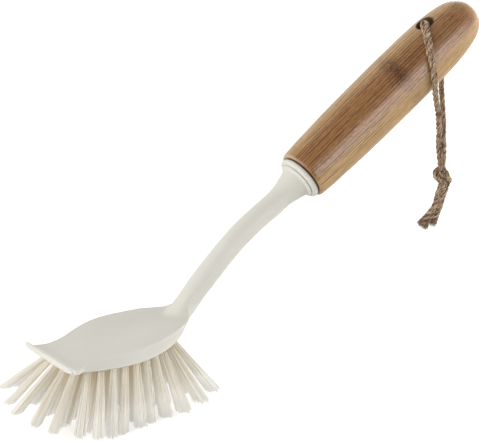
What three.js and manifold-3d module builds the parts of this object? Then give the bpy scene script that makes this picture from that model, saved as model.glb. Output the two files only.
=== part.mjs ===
import * as THREE from 'three';
import Module from 'manifold-3d';

const wasm = await Module();
wasm.setup();

// A pot brush standing on its bristle tips. Millimetres, +z up, the handle points to +x,
// and y = 0 is the plane that divides the brush into two like halves.

// Fit between pieces
const CLEARANCE = 0.3;

// Head: an oval plate with a scraper lip along its front
const HEAD_LENGTH = 71.2;
const HEAD_WIDTH = 38.6;
const HEAD_THICKNESS = 6.4;
const UNDERSIDE_HEIGHT = 28.8;
const LIP_WIDTH = 34.2;
const ROOF = 0.6;

// Bristle tufts and the metal strips that hold them
const TUFT_HOLE_DIAMETER = 3;
const BACKING_SLICE = 0.7;
const OUTER_TUFTS = 24;
const INNER_TUFTS = 14;
const CENTRE_TUFTS = 4;
const STRANDS_AROUND = 7;
const STRAND_LENGTH = 29.3;
const STRAND_THICKNESS = 0.8;
const TUFT_SPREAD = 2.5;
const SPLAY_FRONT = 20.6;
const SPLAY_REAR = 19.2;
const SPLAY_SIDE = 3.3;
const SPLAY_FRONT_SIDE = 29.8;
const SPLAY_REAR_SIDE = 54;
const ANCHOR_HEIGHT = 0.5;
const ANCHOR_THICKNESS = 0.4;

// Neck, collar and tang: one moulding with the head
const NECK_REACH = 77.95;
const NECK_RISE = 52.3;
const NECK_WIDTH = 9.5;
const NECK_DEPTH = 9.1;
const FLARE_DIAMETER = 14.9;
const COLLAR_DIAMETER = 20.9;
const COLLAR_LENGTH = 3.6;
const TANG_DIAMETER = 9.4;
const TANG_LENGTH = 28;

// Turned bamboo handle
const HANDLE_LENGTH = 114;
const HANDLE_DIAMETER = 27.2;
const HANDLE_END_DIAMETER = 23.8;
const HANDLE_PITCH = 32.15;
const CORD_HOLE_DIAMETER = 7.8;
const CORD_HOLE_FROM_END = 25.3;

// Hanging cord
const CORD_DIAMETER = 2.6;
const LOOP_DROP = 52;
const KNOT_WIDTH = 8;
const TAIL_LENGTH = 18;

const SIDES = 32;
const UP = new THREE.Vector3(0, 0, 1);
const ACROSS = new THREE.Vector3(0, 1, 0);

// A geometry as a closed solid: its vertices welded and its faces turned outwards
function solid(geometry) {
  const source = geometry.index ? geometry.toNonIndexed() : geometry;
  const place = source.getAttribute('position');
  const known = new Map();
  const vertices = [];
  const triangles = [];
  for (let i = 0; i < place.count; i += 3) {
    const corner = [];
    for (let k = i; k < i + 3; k += 1) {
      const point = [place.getX(k), place.getY(k), place.getZ(k)];
      const key = point.map((value) => Math.round(value * 1e4)).join(' ');
      if (!known.has(key)) {
        known.set(key, vertices.length / 3);
        vertices.push(...point);
      }
      corner.push(known.get(key));
    }
    if (new Set(corner).size === 3) {
      triangles.push(...corner);
    }
  }
  const at = (n) => new THREE.Vector3().fromArray(vertices, 3 * n);
  let volume = 0;
  for (let i = 0; i < triangles.length; i += 3) {
    const [a, b, c] = triangles.slice(i, i + 3).map(at);
    volume += a.dot(b.cross(c));
  }
  if (volume < 0) {
    triangles.reverse();
  }
  return new wasm.Manifold(
    new wasm.Mesh({
      numProp: 3,
      vertProperties: new Float32Array(vertices),
      triVerts: new Uint32Array(triangles),
    }),
  );
}

function piece(body, name, material) {
  const mesh = body.getMesh();
  const geometry = new THREE.BufferGeometry();
  geometry.setAttribute('position', new THREE.BufferAttribute(mesh.vertProperties, 3));
  geometry.setIndex(new THREE.BufferAttribute(mesh.triVerts, 1));
  geometry.computeVertexNormals();
  const shown = new THREE.Mesh(geometry, material);
  shown.name = name;
  return shown;
}

// Rings of points joined one to the next, with a flat cap on the first and the last
function loft(rings) {
  const count = rings[0].length;
  const points = [];
  const quad = (a, b, c, d) => points.push(a, b, c, a, c, d);
  for (let i = 0; i + 1 < rings.length; i += 1) {
    for (let j = 0; j < count; j += 1) {
      const k = (j + 1) % count;
      quad(rings[i][j], rings[i][k], rings[i + 1][k], rings[i + 1][j]);
    }
  }
  for (const [ring, turned] of [[rings[0], true], [rings.at(-1), false]]) {
    for (let j = 1; j + 1 < count; j += 1) {
      const [b, c] = turned ? [ring[j + 1], ring[j]] : [ring[j], ring[j + 1]];
      points.push(ring[0], b, c);
    }
  }
  return new THREE.BufferGeometry().setFromPoints(points);
}

function upright(outline, bottom, top) {
  const geometry = new THREE.ExtrudeGeometry(new THREE.Shape(outline), {
    depth: top - bottom,
    bevelEnabled: false,
  });
  return geometry.translate(0, 0, bottom);
}

function rod(radius, length, sides) {
  return new THREE.CylinderGeometry(radius, radius, length, sides);
}

// Head: cross sections from the scraper edge to the rear. The underside is an oval, and the top
// narrows behind the lip. Shares of the head's length, half its width and its thickness.
const half = HEAD_WIDTH / 2;
const lip = LIP_WIDTH / HEAD_WIDTH;
const UNDERSIDE = [
  [0, 0.8 * lip, 0.34], [0.005, 0.84 * lip, 0.3], [0.017, 0.85 * lip, 0.24],
  [0.036, 0.77 * lip, 0.12], [0.067, 0.69, 0], [0.112, 0.8, 0], [0.169, 0.885, 0],
  [0.235, 0.97, 0], [0.309, 1.047, 0], [0.393, 1.088, 0], [0.487, 1.083, 0], [0.586, 1.005, 0],
  [0.684, 0.865, 0], [0.765, 0.7, 0], [0.832, 0.535, 0], [0.884, 0.365, 0], [0.915, 0.18, 0],
  [0.925, 0.04, 0],
];
const TOP = [
  [0.003, 0.92 * lip, 0.64], [0.01, 0.98 * lip, 0.73], [0.022, lip, 0.69],
  [0.042, 0.975 * lip, 0.48], [0.077, 0.93 * lip, 0.43], [0.122, 0.77, 0.44],
  [0.176, 0.75, 0.47], [0.239, 0.782, 0.56], [0.316, 0.87, 0.7], [0.4, 0.953, 0.84],
  [0.492, 1, 0.94], [0.59, 0.974, 0.99], [0.688, 0.895, 1.02], [0.787, 0.765, 1.05],
  [0.86, 0.6, 1.07], [0.912, 0.435, 1.12], [0.95, 0.29, 1.28], [0.972, 0.1, 1.55],
];
const edge = (rows) =>
  new THREE.CatmullRomCurve3(
    rows.map(
      ([x, y, z]) =>
        new THREE.Vector3(x * HEAD_LENGTH, y * half, UNDERSIDE_HEIGHT + z * HEAD_THICKNESS),
    ),
  );
const HEAD_SECTIONS = 36;
const lowerEdge = edge(UNDERSIDE).getPoints(HEAD_SECTIONS);
lowerEdge.forEach((p) => p.setZ(Math.max(p.z, UNDERSIDE_HEIGHT)));
const upperEdge = edge(TOP).getPoints(HEAD_SECTIONS);
const across = (p) => new THREE.Vector3(p.x, -p.y, p.z);
const headRings = lowerEdge.map((low, i) => {
  const high = upperEdge[i];
  const shoulder = low.clone().lerp(high, 0.88);
  const rounded = new THREE.Vector3(high.x, Math.max(0.2 * high.y, high.y - 0.7), high.z);
  return [low, shoulder, rounded, across(rounded), across(shoulder), across(low)];
});
let moulding = solid(loft(headRings));

function topAt(x) {
  const after = upperEdge.findIndex((p) => p.x >= x);
  const [a, b] = [upperEdge[after - 1], upperEdge[after]];
  return a.z + ((b.z - a.z) * (x - a.x)) / (b.x - a.x);
}

// Handle axis, from the collar face outwards
const pitch = THREE.MathUtils.degToRad(HANDLE_PITCH);
const along = new THREE.Vector3(Math.cos(pitch), 0, Math.sin(pitch));
const away = new THREE.Vector3(-Math.sin(pitch), 0, Math.cos(pitch));
const root = new THREE.Vector3(0.768 * HEAD_LENGTH, 0, UNDERSIDE_HEIGHT + 0.56 * HEAD_THICKNESS);
const collar = root.clone().add(new THREE.Vector3(NECK_REACH, 0, NECK_RISE));
const onAxis = (distance) => collar.clone().addScaledVector(along, distance);
const toHandle = new THREE.Matrix4()
  .makeBasis(new THREE.Vector3(0, -1, 0), along, away)
  .setPosition(collar);

// Neck: rounded sections swept from inside the head up to the flare under the collar
const flare = FLARE_DIAMETER / 2;
const [wide, deep] = [NECK_WIDTH / 2, NECK_DEPTH / 2];
const inHead = 0.34 * HEAD_THICKNESS;
const station = (fx, fz, w, d) => ({
  at: root.clone().add(new THREE.Vector3(fx * NECK_REACH, 0, fz * NECK_RISE)),
  w,
  d,
});
const stations = [
  station(0.01, 0, 2.1 * wide, inHead),
  station(0.095, 0.036, 1.6 * wide, 0.55 * inHead + 0.4 * deep),
  station(0.158, 0.08, 1.28 * wide, 0.9 * deep),
  station(0.217, 0.148, 1.12 * wide, 1.01 * deep),
  station(0.296, 0.26, 1.03 * wide, 1.01 * deep),
  station(0.437, 0.447, wide, deep),
  station(0.566, 0.603, wide, deep),
  station(0.7, 0.731, wide, deep),
  { at: onAxis(-4.2 * deep), w: wide, d: deep },
  { at: onAxis(-3.7 * COLLAR_LENGTH), w: 0.96 * wide + 0.04 * flare, d: 0.96 * deep + 0.04 * flare },
  { at: onAxis(-2.45 * COLLAR_LENGTH), w: 0.61 * wide + 0.39 * flare, d: 0.61 * deep + 0.39 * flare },
  { at: onAxis(-1.53 * COLLAR_LENGTH), w: 0.25 * wide + 0.75 * flare, d: 0.25 * deep + 0.75 * flare },
  { at: onAxis(-0.89 * COLLAR_LENGTH), w: flare, d: flare },
];
const spine = new THREE.CatmullRomCurve3(stations.map((s) => s.at));
const widths = new THREE.SplineCurve(stations.map((s) => new THREE.Vector2(s.w, s.d)));
const bend = (value, power) => Math.sign(value) * Math.abs(value) ** power;
const rings = [];
const SECTIONS = 36;
for (let i = 0; i <= SECTIONS; i += 1) {
  const t = i / SECTIONS;
  const centre = spine.getPoint(t);
  const heading = spine.getTangent(t);
  const lift = heading.clone().cross(ACROSS).negate();
  const size = widths.getPoint(t);
  const power = 0.8 + 0.2 * THREE.MathUtils.smoothstep(t, 0.75, 0.95);
  const ring = [];
  for (let j = 0; j < 24; j += 1) {
    const turn = (2 * Math.PI * j) / 24;
    ring.push(
      centre
        .clone()
        .addScaledVector(ACROSS, size.x * bend(Math.cos(turn), power))
        .addScaledVector(lift, size.y * bend(Math.sin(turn), power)),
    );
  }
  rings.push(ring);
}
moulding = moulding.add(solid(loft(rings)));

// Collar flange and the tang that stands inside the handle, with four rings that grip the bore
const rim = COLLAR_DIAMETER / 2;
const tang = TANG_DIAMETER / 2;
const face = -CLEARANCE;
const grip = [];
for (let i = 3; i >= 0; i -= 1) {
  const start = (0.16 + 0.2 * i) * TANG_LENGTH;
  const rise = 0.02 * TANG_LENGTH;
  const foot = 0.114 * TANG_LENGTH;
  grip.push([tang - 0.5, start + foot], [tang, start + rise], [tang, start], [tang - 0.5, start]);
}
const turned = [
  [0, TANG_LENGTH], [tang - 1.4, TANG_LENGTH], [tang - 0.5, TANG_LENGTH - 1.2],
  ...grip,
  [tang - 0.5, face], [rim - 0.7, face], [rim - 0.15, face - 0.4], [rim, face - 1.1],
  [rim, face - 0.44 * COLLAR_LENGTH], [rim - 0.25, face - 0.68 * COLLAR_LENGTH],
  [rim - 1.1, face - 0.88 * COLLAR_LENGTH], [rim - 2, -1.04 * COLLAR_LENGTH],
  [flare - 0.6, -1.07 * COLLAR_LENGTH], [0, -1.07 * COLLAR_LENGTH],
].map(([r, h]) => new THREE.Vector2(r, h));
moulding = moulding.add(solid(new THREE.LatheGeometry(turned, SIDES).applyMatrix4(toHandle)));

// Tuft field on the underside: an oval that keeps a rim inside the wall
const FIELD = [
  [0.115, 0.363], [0.147, 0.58], [0.197, 0.746], [0.26, 0.876], [0.337, 0.964], [0.421, 0.995],
  [0.506, 0.974], [0.597, 0.896], [0.684, 0.772], [0.758, 0.606], [0.815, 0.425], [0.851, 0.238],
];
const fieldFront = 0.098 * HEAD_LENGTH;
const fieldRear = 0.874 * HEAD_LENGTH;
const fieldSide = FIELD.map(([u, w]) => new THREE.Vector3(u * HEAD_LENGTH, w * half, 0));
const field = new THREE.CatmullRomCurve3(
  [
    new THREE.Vector3(fieldFront, 0, 0),
    ...fieldSide,
    new THREE.Vector3(fieldRear, 0, 0),
    ...fieldSide.map((p) => new THREE.Vector3(p.x, -p.y, 0)).reverse(),
  ],
  true,
);
const fieldMiddle = (fieldFront + fieldRear) / 2;
const fieldReach = (fieldRear - fieldFront) / 2;
const fieldHalf = 0.995 * half;

// The field's outline drawn in by the same distance at its ends and its sides
function inset(points, distance) {
  return points.map(
    (p) =>
      new THREE.Vector2(
        fieldMiddle + (p.x - fieldMiddle) * (1 - distance / fieldReach),
        p.y * (1 - distance / fieldHalf),
      ),
  );
}
const outline = field.getSpacedPoints(56).slice(0, -1);

// A ring of tufts, evenly spaced from the front down both sides; gap widens the space at the rear
function ringOfTufts(count, distance, gap) {
  const side = [];
  for (let i = 0; i < count / 2; i += 1) {
    side.push(field.getPointAt((0.5 * (i + 0.5)) / (count / 2 + gap)));
  }
  const other = side.map((p) => new THREE.Vector3(p.x, -p.y, 0));
  return inset([...side, ...other], distance);
}
const holeRadius = TUFT_HOLE_DIAMETER / 2;
const plug = holeRadius - 1.5 * CLEARANCE;
const bandWidth = 0.29 * fieldHalf;
const outerTufts = ringOfTufts(OUTER_TUFTS, holeRadius + CLEARANCE, 1.2);
const innerTufts = ringOfTufts(INNER_TUFTS, 1.48 * bandWidth, 0);
const centreTufts = [];
for (let i = 0; i < CENTRE_TUFTS; i += 1) {
  const share = (i + 0.5) / CENTRE_TUFTS - 0.5;
  centreTufts.push(new THREE.Vector2(fieldMiddle + 1.02 * share * fieldReach, 0));
}

// Underside recess for the slice that carries the strands, and a blind hole over each tuft
const sliceTop = UNDERSIDE_HEIGHT + BACKING_SLICE;
const ceiling = sliceTop + CLEARANCE;
const cuts = [solid(upright(inset(outline, -CLEARANCE), UNDERSIDE_HEIGHT - 1, ceiling))];
const tufts = [...outerTufts, ...innerTufts, ...centreTufts].map((at) => {
  const top = topAt(at.x - holeRadius) - ROOF;
  const strip = Math.min(ANCHOR_HEIGHT, 0.6 * (top - ceiling - 2 * CLEARANCE));
  return { at, top, strip, plugTop: top - 2 * CLEARANCE - strip };
});
for (const tuft of tufts) {
  const bore = rod(holeRadius, tuft.top - ceiling + 0.2, 12).rotateX(Math.PI / 2);
  bore.translate(tuft.at.x, tuft.at.y, (tuft.top + ceiling - 0.2) / 2);
  cuts.push(solid(bore));
}
for (const cut of cuts) {
  moulding = moulding.subtract(cut);
}

// Each tuft leans out from the middle of the field, most at the front and at the rear corners,
// and a little more on one side than on the other
function lean(x, y) {
  const ahead = Math.max(0, fieldMiddle - x) / fieldReach;
  const behind = Math.max(0, x - fieldMiddle) / fieldReach;
  const aside = y / fieldHalf;
  const dx = SPLAY_REAR * behind ** 1.47 - SPLAY_FRONT * ahead ** 0.9 * (1 + 0.24 * aside);
  const fan = SPLAY_FRONT_SIDE * ahead ** 2 + SPLAY_REAR_SIDE * behind ** 3;
  const dy = (SPLAY_SIDE + fan) * aside;
  const down = Math.max(0.1 * STRAND_LENGTH ** 2, STRAND_LENGTH ** 2 - dx ** 2 - dy ** 2);
  return new THREE.Vector3(dx, dy, -Math.sqrt(down));
}

function strands(group) {
  const points = [];
  const grow = (rings) => points.push(...loft(rings).getAttribute('position').array);
  for (const { at, plugTop } of group) {
    const tilt = lean(at.x, at.y);
    const level = (z, radius, sides, centre) => {
      const ring = [];
      for (let j = 0; j < sides; j += 1) {
        const turn = (2 * Math.PI * j) / sides;
        const spoke = new THREE.Vector3(Math.cos(turn), Math.sin(turn), 0);
        ring.push(centre.clone().addScaledVector(spoke, radius).setZ(z));
      }
      return ring;
    };
    const foot = new THREE.Vector3(at.x, at.y, UNDERSIDE_HEIGHT);
    grow([level(plugTop, plug, 6, foot), level(sliceTop - 0.3, plug, 6, foot)]);
    for (let i = 0; i <= STRANDS_AROUND; i += 1) {
      const turn = (2 * Math.PI * i) / STRANDS_AROUND;
      const reach = i === STRANDS_AROUND ? 0 : 0.72 * holeRadius;
      const spoke = new THREE.Vector3(Math.cos(turn), Math.sin(turn), 0).multiplyScalar(reach);
      const start = foot.clone().add(spoke);
      const end = foot.clone().add(tilt).addScaledVector(spoke, TUFT_SPREAD);
      const back = start.clone().lerp(end, -0.4 / STRAND_LENGTH);
      const inner = level(back.z, 0.5 * STRAND_THICKNESS, 3, back);
      const outer = level(end.z, 0.7 * STRAND_THICKNESS, 3, end);
      grow([inner, outer]);
    }
  }
  const geometry = new THREE.BufferGeometry();
  geometry.setAttribute('position', new THREE.Float32BufferAttribute(points, 3));
  return solid(geometry);
}

// The longest strands are trimmed level where the brush stands
const floor = new THREE.BoxGeometry(3 * HEAD_LENGTH, 3 * HEAD_WIDTH, 10);
const trim = solid(floor.translate(0.5 * HEAD_LENGTH, 0, -5));
const slice = (distance) =>
  solid(upright(inset(outline, distance), UNDERSIDE_HEIGHT, sliceTop));
const block = (y) => {
  const box = new THREE.BoxGeometry(3 * HEAD_LENGTH, 2 * HEAD_WIDTH, 3 * HEAD_THICKNESS);
  return solid(box.translate(0, y, UNDERSIDE_HEIGHT));
};
const outerBand = slice(0).subtract(slice(bandWidth));
const innerBand = slice(bandWidth + CLEARANCE).subtract(slice(2 * bandWidth));
const centreBand = slice(2 * bandWidth + CLEARANCE);
const outerSet = tufts.slice(0, OUTER_TUFTS);
const innerSet = tufts.slice(OUTER_TUFTS, OUTER_TUFTS + INNER_TUFTS);
const centreSet = tufts.slice(OUTER_TUFTS + INNER_TUFTS);
const rows = [
  ['bristles_outer_left', outerBand.intersect(block(HEAD_WIDTH + CLEARANCE / 2)),
    outerSet.filter((t) => t.at.y > 0)],
  ['bristles_outer_right', outerBand.intersect(block(-HEAD_WIDTH - CLEARANCE / 2)),
    outerSet.filter((t) => t.at.y < 0)],
  ['bristles_inner_ring', innerBand, innerSet],
  ['bristles_centre_row', centreBand, centreSet],
];

// Handle: a turned barrel with a domed end, a socket for the tang and a cross hole for the cord
const barrel = HANDLE_DIAMETER / 2;
const mouth = HANDLE_END_DIAMETER / 2;
const BARREL = [
  [0.012, 0], [0.07, 0.3], [0.13, 0.45], [0.2, 0.66], [0.3, 0.84], [0.42, 0.95], [0.53, 1],
  [0.63, 0.97], [0.72, 0.86],
];
const DOME = [
  [0.79, 0.955], [0.825, 0.928], [0.86, 0.888], [0.895, 0.832], [0.925, 0.758], [0.95, 0.655],
  [0.97, 0.53], [0.985, 0.38], [0.996, 0.19], [1, 0],
];
const skin = new THREE.SplineCurve([
  ...BARREL.map(([u, w]) => new THREE.Vector2(mouth + w * (barrel - mouth), u * HANDLE_LENGTH)),
  ...DOME.map(([u, w]) => new THREE.Vector2(w * barrel, u * HANDLE_LENGTH)),
]).getPoints(30);
const bodyProfile = [
  new THREE.Vector2(0, 0),
  new THREE.Vector2(mouth - 1.1, 0),
  new THREE.Vector2(mouth - 0.3, 0.45),
  ...skin,
];
function radiusAt(height) {
  const after = skin.findIndex((p) => p.y >= height);
  const [a, b] = [skin[after - 1], skin[after]];
  return a.x + ((b.x - a.x) * (height - a.y)) / (b.y - a.y);
}
const socketDepth = TANG_LENGTH + CLEARANCE;
const socket = rod(tang + CLEARANCE, socketDepth + 2, SIDES).translate(0, socketDepth / 2 - 1, 0);
const holeAt = HANDLE_LENGTH - CORD_HOLE_FROM_END;
const holeBore = rod(CORD_HOLE_DIAMETER / 2, 3 * HANDLE_DIAMETER, 20);
holeBore.rotateX(Math.PI / 2).translate(0, holeAt, 0);
const handle = solid(new THREE.LatheGeometry(bodyProfile, SIDES).applyMatrix4(toHandle))
  .subtract(solid(socket.applyMatrix4(toHandle)))
  .subtract(solid(holeBore.applyMatrix4(toHandle)));

// Cord: from the near side of the handle over the edge of the hole, down through it and out below
const cordRadius = CORD_DIAMETER / 2;
const hole = onAxis(holeAt);
const hug = cordRadius + CLEARANCE + 0.1;
const drift = 0.135 * HANDLE_LENGTH;
const holeRim = CORD_HOLE_DIAMETER / 2;
const leanIn = holeRim - hug;

function beside(angle, slip) {
  const reach = radiusAt(holeAt - slip) + hug;
  const turn = THREE.MathUtils.degToRad(angle);
  return onAxis(holeAt - slip)
    .addScaledVector(ACROSS, -reach * Math.sin(turn))
    .addScaledVector(away, reach * Math.cos(turn));
}
const within = (height, y) =>
  hole.clone().addScaledVector(away, height).addScaledVector(ACROSS, y);
const skinAtHole = radiusAt(holeAt);
const rimHeight = Math.sqrt(skinAtHole ** 2 - holeRim ** 2);
const frontPin = beside(101, drift * 1.1);
const slack = 0.4 * holeRim;
const below = within(-skinAtHole - 0.6, 0.5 * slack).addScaledVector(along, -slack);
const backPin = below.clone().add(new THREE.Vector3(0.1, -0.3, -4.2));
const stop = cordRadius + CLEARANCE + 0.15;
const overHandle = [
  frontPin.clone().addScaledVector(UP, stop),
  beside(91, drift * 0.99),
  beside(70, drift * 0.7),
  beside(50, drift * 0.42),
  beside(34, drift * 0.2),
  beside(24, drift * 0.06),
  within(rimHeight + 0.85 * hug, -leanIn - 0.62 * hug),
  within(rimHeight, -leanIn),
  within(0.4 * rimHeight, -0.7 * leanIn),
  within(-0.4 * rimHeight, -0.3 * leanIn),
  within(-rimHeight, 0.3 * slack).addScaledVector(along, -0.8 * slack),
  below.clone().lerp(backPin, 0.25),
  backPin.clone().addScaledVector(UP, stop),
];

// The loop hangs from two points under the handle, about which it swings, down to a knot
const swing = backPin.clone().sub(frontPin).normalize();
const middle = frontPin.clone().add(backPin).multiplyScalar(0.5);
const spread = new THREE.Vector3(swing.x, swing.y, 0).normalize();
const apart = cordRadius + CLEARANCE / 2 + 0.05;
const knot = middle.clone().add(new THREE.Vector3(0.077, 0.008, -0.923).multiplyScalar(LOOP_DROP));
const knotTop = knot.clone().addScaledVector(UP, 0.53 * KNOT_WIDTH + CLEARANCE + 0.2);
const meet = knotTop.clone().addScaledVector(UP, 0.2 * LOOP_DROP);
function leg(pin, way) {
  const join = meet.clone().addScaledVector(spread, way * apart);
  const end = knotTop.clone().addScaledVector(spread, way * apart);
  return [
    pin,
    pin.clone().lerp(join, 0.3).addScaledVector(spread, way * 0.3),
    pin.clone().lerp(join, 0.7).addScaledVector(spread, way * 0.4),
    join,
    join.clone().lerp(end, 0.5),
    end,
  ];
}
const tailTop = knot.clone().addScaledVector(UP, -0.53 * KNOT_WIDTH - CLEARANCE - 0.2);
function tail(way, length, slant) {
  const start = tailTop.clone().addScaledVector(spread, way * apart);
  const lead = new THREE.Vector3(0.08 * way - 0.43, 0.03 - 0.07 * way, -0.9).normalize();
  return [
    start,
    start.clone().addScaledVector(lead, 0.35 * length).addScaledVector(UP, -0.3),
    start.clone().addScaledVector(lead, 0.7 * length).addScaledVector(spread, way * slant * 0.4),
    start.clone().addScaledVector(lead, length).addScaledVector(spread, way * slant),
  ];
}

function cord(points, steps) {
  const circle = [];
  for (let j = 0; j < 8; j += 1) {
    const turn = (2 * Math.PI * (j + 0.5)) / 8;
    const spoke = new THREE.Vector2(Math.cos(turn), Math.sin(turn));
    circle.push(spoke.multiplyScalar(cordRadius));
  }
  const extrudePath = new THREE.CatmullRomCurve3(points);
  const options = { steps, extrudePath, bevelEnabled: false };
  return solid(new THREE.ExtrudeGeometry(new THREE.Shape(circle), options));
}
function ball(at) {
  const sphere = new THREE.SphereGeometry(cordRadius, 8, 6);
  return solid(sphere.translate(at.x, at.y, at.z));
}

// The knot: a small core with two slanted turns drawn tight around it
function wrap(tilt, size) {
  const turn = new THREE.TorusGeometry(0.5 * KNOT_WIDTH - 1.35, 1.35, 8, 18);
  turn.scale(size, size, 1.25).rotateX(tilt).rotateZ(0.6);
  return solid(turn.translate(knot.x, knot.y, knot.z));
}
const core = new THREE.SphereGeometry(0.4 * KNOT_WIDTH, 14, 10).rotateX(Math.PI / 2);
core.scale(1, 0.92, 1.3).translate(knot.x, knot.y, knot.z);
const knotBody = solid(core).add(wrap(0.42, 1)).add(wrap(-0.5, 0.95));

// Materials
const plastic = new THREE.MeshStandardMaterial({ color: 0xe4e0d4, roughness: 0.45, metalness: 0 });
const bamboo = new THREE.MeshStandardMaterial({ color: 0xb07d48, roughness: 0.42, metalness: 0 });
const fibre = new THREE.MeshStandardMaterial({ color: 0xf0ead9, roughness: 0.6, metalness: 0 });
const brass = new THREE.MeshStandardMaterial({ color: 0xb8964f, roughness: 0.35, metalness: 1 });
const jute = new THREE.MeshStandardMaterial({ color: 0x9a7f5e, roughness: 0.9, metalness: 0 });

const brush = [
  piece(moulding, 'head_and_neck', plastic),
  piece(handle, 'handle', bamboo),
];
for (const [name, band, group] of rows) {
  brush.push(piece(band.add(strands(group)).subtract(trim), name, fibre));
}
tufts.forEach(({ at, top, strip }, i) => {
  const reach = holeRadius - CLEARANCE - 0.15;
  const flat = new THREE.Shape([
    new THREE.Vector2(-reach, 0.25 * strip), new THREE.Vector2(0.25 * strip - reach, 0),
    new THREE.Vector2(reach - 0.25 * strip, 0), new THREE.Vector2(reach, 0.25 * strip),
    new THREE.Vector2(reach, strip), new THREE.Vector2(-reach, strip),
  ]);
  const sheet = new THREE.ExtrudeGeometry(flat, { depth: ANCHOR_THICKNESS, bevelEnabled: false });
  sheet.translate(0, 0, -ANCHOR_THICKNESS / 2).rotateX(Math.PI / 2);
  sheet.translate(at.x, at.y, top - CLEARANCE - strip);
  brush.push(piece(solid(sheet), `tuft_anchor_${String(i + 1).padStart(2, '0')}`, brass));
});

const loop = [
  piece(cord(overHandle, 26), 'cord_over_handle', jute),
  piece(cord(leg(frontPin, -1), 14).add(ball(frontPin)), 'cord_front_leg', jute),
  piece(cord(leg(backPin, 1), 14).add(ball(backPin)), 'cord_back_leg', jute),
  piece(knotBody, 'cord_knot', jute),
  piece(cord(tail(-1, TAIL_LENGTH, 0.7), 7), 'cord_tail_front', jute),
  piece(cord(tail(1, 0.96 * TAIL_LENGTH, 0.2), 7), 'cord_tail_back', jute),
];

// The origin lies on the floor under the middle of the brush without its cord
const part = new THREE.Group();
part.name = 'pot_brush';
const box = new THREE.Box3();
brush.forEach((shown) => box.expandByObject(shown));
const shift = Math.round(5 * (box.min.x + box.max.x)) / 10;
for (const shown of [...brush, ...loop]) {
  shown.geometry.translate(-shift, 0, 0);
  part.add(shown);
}

export default part;
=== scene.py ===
import math

import bpy
import numpy as np
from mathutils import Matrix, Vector


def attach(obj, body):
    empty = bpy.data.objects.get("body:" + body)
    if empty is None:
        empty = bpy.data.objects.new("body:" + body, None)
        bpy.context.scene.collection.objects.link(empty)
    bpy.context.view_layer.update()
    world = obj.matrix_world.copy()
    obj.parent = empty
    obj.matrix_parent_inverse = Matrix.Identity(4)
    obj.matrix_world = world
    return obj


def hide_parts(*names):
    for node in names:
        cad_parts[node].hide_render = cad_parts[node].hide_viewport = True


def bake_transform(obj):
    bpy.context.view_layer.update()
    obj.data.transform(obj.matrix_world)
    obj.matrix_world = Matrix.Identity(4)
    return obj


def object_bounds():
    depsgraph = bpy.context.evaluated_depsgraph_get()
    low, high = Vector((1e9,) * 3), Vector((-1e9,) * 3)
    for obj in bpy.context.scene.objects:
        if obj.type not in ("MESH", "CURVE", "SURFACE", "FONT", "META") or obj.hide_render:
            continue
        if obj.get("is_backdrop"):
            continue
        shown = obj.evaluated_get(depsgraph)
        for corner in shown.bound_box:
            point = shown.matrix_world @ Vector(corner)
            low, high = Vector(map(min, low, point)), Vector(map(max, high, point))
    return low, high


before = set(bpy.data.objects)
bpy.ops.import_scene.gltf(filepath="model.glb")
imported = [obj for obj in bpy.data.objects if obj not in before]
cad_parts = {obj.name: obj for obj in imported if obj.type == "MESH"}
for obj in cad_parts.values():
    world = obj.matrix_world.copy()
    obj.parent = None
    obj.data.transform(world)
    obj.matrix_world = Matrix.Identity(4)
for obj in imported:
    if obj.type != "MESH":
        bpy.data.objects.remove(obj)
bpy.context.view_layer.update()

# Camera: the photograph's own view, from ahead of the scraper lip and a little above, through a
# long lens. It aims at a point between the head and the collar.
scene = bpy.context.scene
scene.view_settings.view_transform = "Standard"
aim = Vector((-0.0097, 0.0, 0.0712))
turn, rise, distance = math.radians(-36.06), math.radians(20.65), 0.954
outward = Vector((math.sin(turn) * math.cos(rise), -math.cos(turn) * math.cos(rise), math.sin(rise)))
bpy.ops.object.camera_add(location=aim + outward * distance)
camera = bpy.context.object
camera.name = "camera"
camera.rotation_euler = (-outward).to_track_quat("-Z", "Y").to_euler()
camera.data.lens = 165.8
camera.data.sensor_width = 36.0
scene.camera = camera

# Hanging cord: one length of three-ply jute twine, threaded through the hole in the handle. One
# run folds over the rim of the hole and down the side of the handle, the other drops straight out
# below it, and the two are tied in an overhand knot with short frayed tails.
mm = 0.001
chance = np.random.default_rng(11)
cord_thickness = 2.6 * mm
lay_length = 8.6 * mm
# a ply's distance from the middle and its half thickness, as shares of the cord's, and its faces
ply_offset, ply_half, ply_sides = 0.232, 0.27, 10
route_step = 0.45 * mm
knot_centre = np.array((99.966, -6.826, 69.855)) * mm
# right and up in the picture, along which the knot is laid
picture_right = np.array((0.808, -0.589, 0.0))
picture_up = np.array((0.208, 0.285, 0.936))
towards_camera = np.array(outward)


def spline(points, per):
    """Points on a smooth curve through the given ones, with the same number on each stretch."""
    known = np.asarray(points, float)
    gaps = np.sqrt(np.linalg.norm(np.diff(known, axis=0), axis=1))
    knots = np.concatenate([[0.0], np.cumsum(gaps)])
    slopes = np.gradient(known, knots, axis=0)
    made = []
    for i, gap in enumerate(gaps):
        s = np.linspace(0.0, 1.0, per, endpoint=False)[:, None]
        made.append((1 + 2 * s) * (1 - s) ** 2 * known[i] + s * (1 - s) ** 2 * gap * slopes[i]
                    + s * s * (3 - 2 * s) * known[i + 1] + s * s * (s - 1) * gap * slopes[i + 1])
    return np.concatenate([*made, known[-1:]])


def evenly(line, step):
    """The same line in even steps."""
    gone = np.concatenate([[0.0], np.cumsum(np.linalg.norm(np.diff(line, axis=0), axis=1))])
    marks = np.linspace(0.0, gone[-1], max(4, round(gone[-1] / step)) + 1)
    return np.stack([np.interp(marks, gone, line[:, k]) for k in range(3)], axis=1), marks


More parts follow.
